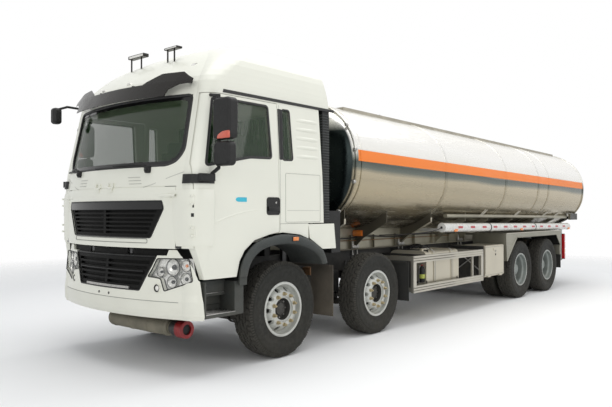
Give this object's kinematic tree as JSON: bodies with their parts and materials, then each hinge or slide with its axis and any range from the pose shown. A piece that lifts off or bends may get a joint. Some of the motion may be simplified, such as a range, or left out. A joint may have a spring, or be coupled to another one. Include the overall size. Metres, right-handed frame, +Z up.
{
  "type": "tanker truck",
  "caption": "Rigid road tanker with a high-roofed white cab, twin-steered front axles, a long polished oval tank with a side stripe, side guards and twin rear wheels.",
  "frame": {"origin": "on the ground at the middle of the bounding box", "axes": "+X forward to the cab, +Y to the vehicle's left, +Z up"},
  "size_m": [11.632, 3.06, 3.41],
  "materials": {
    "frame_paint": "satin",
    "subframe_paint": "satin",
    "cast_metal": "rough",
    "tank_aluminium": "satin",
    "dark_metal": "satin",
    "guard_aluminium": "satin",
    "fender_aluminium": "satin",
    "flap_rubber": "matt",
    "silencer_paint": "rough",
    "red_paint": "gloss",
    "cab_white": "gloss",
    "lamp_glass": "gloss",
    "clear_glass": "gloss",
    "black_plastic": "matt",
    "grey_plastic": "matt",
    "visor_plastic": "gloss",
    "barrel_metal": "polished",
    "band_metal": "satin",
    "walkway_metal": "satin",
    "tube_white": "gloss",
    "red_lens": "gloss",
    "interior_trim": "matt",
    "tyre_rubber": "matt",
    "rim_metal": "satin"
  },
  "bodies": {
    "chassis": {"chassis_frame": "frame_paint", "axles_and_springs": "frame_paint", "engine_block": "cast_metal", "fuel_tank": "tank_aluminium", "battery_box_and_air_tanks": "dark_metal", "side_guards": "guard_aluminium", "toolbox": "guard_aluminium", "rear_fenders": "fender_aluminium", "mudflaps": "flap_rubber", "silencer": "silencer_paint", "spark_arrester": "red_paint", "bumper": "cab_white", "headlamps": "lamp_glass", "lower_grille": "black_plastic", "steps_and_arches": "grey_plastic", "subframe": "subframe_paint", "tank_barrel": "barrel_metal", "tank_bands": "band_metal", "tank_walkway": "walkway_metal", "rear_bumper": "frame_paint", "hose_tubes": "tube_white", "rear_covers": "cab_white", "air_intake": "black_plastic", "tail_lamps": "red_lens"},
    "cab": {"cab_shell": "cab_white", "cab_roof": "cab_white", "cab_glass": "clear_glass", "visor_and_roof_lamps": "visor_plastic", "cab_interior": "interior_trim"},
    "left_door": {"door_left": "cab_white", "door_glass_left": "clear_glass", "mirror_left": "black_plastic"},
    "right_door": {"door_right": "cab_white", "door_glass_right": "clear_glass", "mirror_right": "black_plastic"},
    "bonnet_flap": {"hood_flap": "cab_white", "upper_grille": "black_plastic"},
    "toolbox_lid": {"toolbox_door": "guard_aluminium"},
    "front_manhole_lid": {"manhole_lid_1": "walkway_metal"},
    "rear_manhole_lid": {"manhole_lid_2": "walkway_metal"},
    "knuckle_1_left_body": {"knuckle_1_left": "frame_paint"},
    "wheel_1_left": {"tyre_1_left": "tyre_rubber", "rim_1_left": "rim_metal"},
    "knuckle_1_right_body": {"knuckle_1_right": "frame_paint"},
    "wheel_1_right": {"tyre_1_right": "tyre_rubber", "rim_1_right": "rim_metal"},
    "knuckle_2_left_body": {"knuckle_2_left": "frame_paint"},
    "wheel_2_left": {"tyre_2_left": "tyre_rubber", "rim_2_left": "rim_metal"},
    "knuckle_2_right_body": {"knuckle_2_right": "frame_paint"},
    "wheel_2_right": {"tyre_2_right": "tyre_rubber", "rim_2_right": "rim_metal"},
    "wheel_3_left": {"twin_tyres_3_left": "tyre_rubber", "twin_rims_3_left": "rim_metal"},
    "wheel_3_right": {"twin_tyres_3_right": "tyre_rubber", "twin_rims_3_right": "rim_metal"},
    "wheel_4_left": {"twin_tyres_4_left": "tyre_rubber", "twin_rims_4_left": "rim_metal"},
    "wheel_4_right": {"twin_tyres_4_right": "tyre_rubber", "twin_rims_4_right": "rim_metal"}
  },
  "joints": [
    {"name": "cab_tilt", "type": "hinge", "parent": "chassis", "child": "cab", "pos_m": [5.69, 0, 1.2], "axis": [0, 1, 0], "range_deg": [0, 45]},
    {"name": "left_door_hinge", "type": "hinge", "parent": "cab", "child": "left_door", "pos_m": [5.588, 1.196, 1.5], "axis": [0, 0, -1], "range_deg": [0, 70]},
    {"name": "right_door_hinge", "type": "hinge", "parent": "cab", "child": "right_door", "pos_m": [5.588, -1.196, 1.5], "axis": [0, 0, 1], "range_deg": [0, 70]},
    {"name": "bonnet_flap_hinge", "type": "hinge", "parent": "cab", "child": "bonnet_flap", "pos_m": [5.813, 0, 1.833], "axis": [0, -1, 0], "range_deg": [0, 75]},
    {"name": "toolbox_lid_hinge", "type": "hinge", "parent": "chassis", "child": "toolbox_lid", "pos_m": [-0.885, 1.24, 0.5], "axis": [-1, 0, 0], "range_deg": [0, 90]},
    {"name": "front_manhole_hinge", "type": "hinge", "parent": "chassis", "child": "front_manhole_lid", "pos_m": [0.7735, 0, 3.08482], "axis": [0, -1, 0], "range_deg": [0, 100]},
    {"name": "rear_manhole_hinge", "type": "hinge", "parent": "chassis", "child": "rear_manhole_lid", "pos_m": [-3.4261, 0, 3.02837], "axis": [0, -1, 0], "range_deg": [0, 100]},
    {"name": "steer_1_left", "type": "hinge", "parent": "chassis", "child": "knuckle_1_left_body", "pos_m": [4.31, 0.85, 0.525], "axis": [0, 0, 1], "range_deg": [-35, 35]},
    {"name": "spin_1_left", "type": "hinge", "parent": "knuckle_1_left_body", "child": "wheel_1_left", "pos_m": [4.31, 1.02, 0.525], "axis": [0, 1, 0], "continuous": true},
    {"name": "steer_1_right", "type": "hinge", "parent": "chassis", "child": "knuckle_1_right_body", "pos_m": [4.31, -0.85, 0.525], "axis": [0, 0, 1], "range_deg": [-35, 35]},
    {"name": "spin_1_right", "type": "hinge", "parent": "knuckle_1_right_body", "child": "wheel_1_right", "pos_m": [4.31, -1.02, 0.525], "axis": [0, 1, 0], "continuous": true},
    {"name": "steer_2_left", "type": "hinge", "parent": "chassis", "child": "knuckle_2_left_body", "pos_m": [2.51, 0.85, 0.525], "axis": [0, 0, 1], "range_deg": [-26.25, 26.25]},
    {"name": "spin_2_left", "type": "hinge", "parent": "knuckle_2_left_body", "child": "wheel_2_left", "pos_m": [2.51, 1.02, 0.525], "axis": [0, 1, 0], "continuous": true},
    {"name": "steer_2_right", "type": "hinge", "parent": "chassis", "child": "knuckle_2_right_body", "pos_m": [2.51, -0.85, 0.525], "axis": [0, 0, 1], "range_deg": [-26.25, 26.25]},
    {"name": "spin_2_right", "type": "hinge", "parent": "knuckle_2_right_body", "child": "wheel_2_right", "pos_m": [2.51, -1.02, 0.525], "axis": [0, 1, 0], "continuous": true},
    {"name": "spin_3_left", "type": "hinge", "parent": "chassis", "child": "wheel_3_left", "pos_m": [-2.09, 0.915, 0.525], "axis": [0, 1, 0], "continuous": true},
    {"name": "spin_3_right", "type": "hinge", "parent": "chassis", "child": "wheel_3_right", "pos_m": [-2.09, -0.915, 0.525], "axis": [0, 1, 0], "continuous": true},
    {"name": "spin_4_left", "type": "hinge", "parent": "chassis", "child": "wheel_4_left", "pos_m": [-3.44, 0.915, 0.525], "axis": [0, 1, 0], "continuous": true},
    {"name": "spin_4_right", "type": "hinge", "parent": "chassis", "child": "wheel_4_right", "pos_m": [-3.44, -0.915, 0.525], "axis": [0, 1, 0], "continuous": true}
  ],
  "couplings": [
    {"joint": "steer_1_right", "follows": "steer_1_left", "ratio": 1},
    {"joint": "steer_2_left", "follows": "steer_1_left", "ratio": 0.75},
    {"joint": "steer_2_right", "follows": "steer_1_left", "ratio": 0.75}
  ]
}
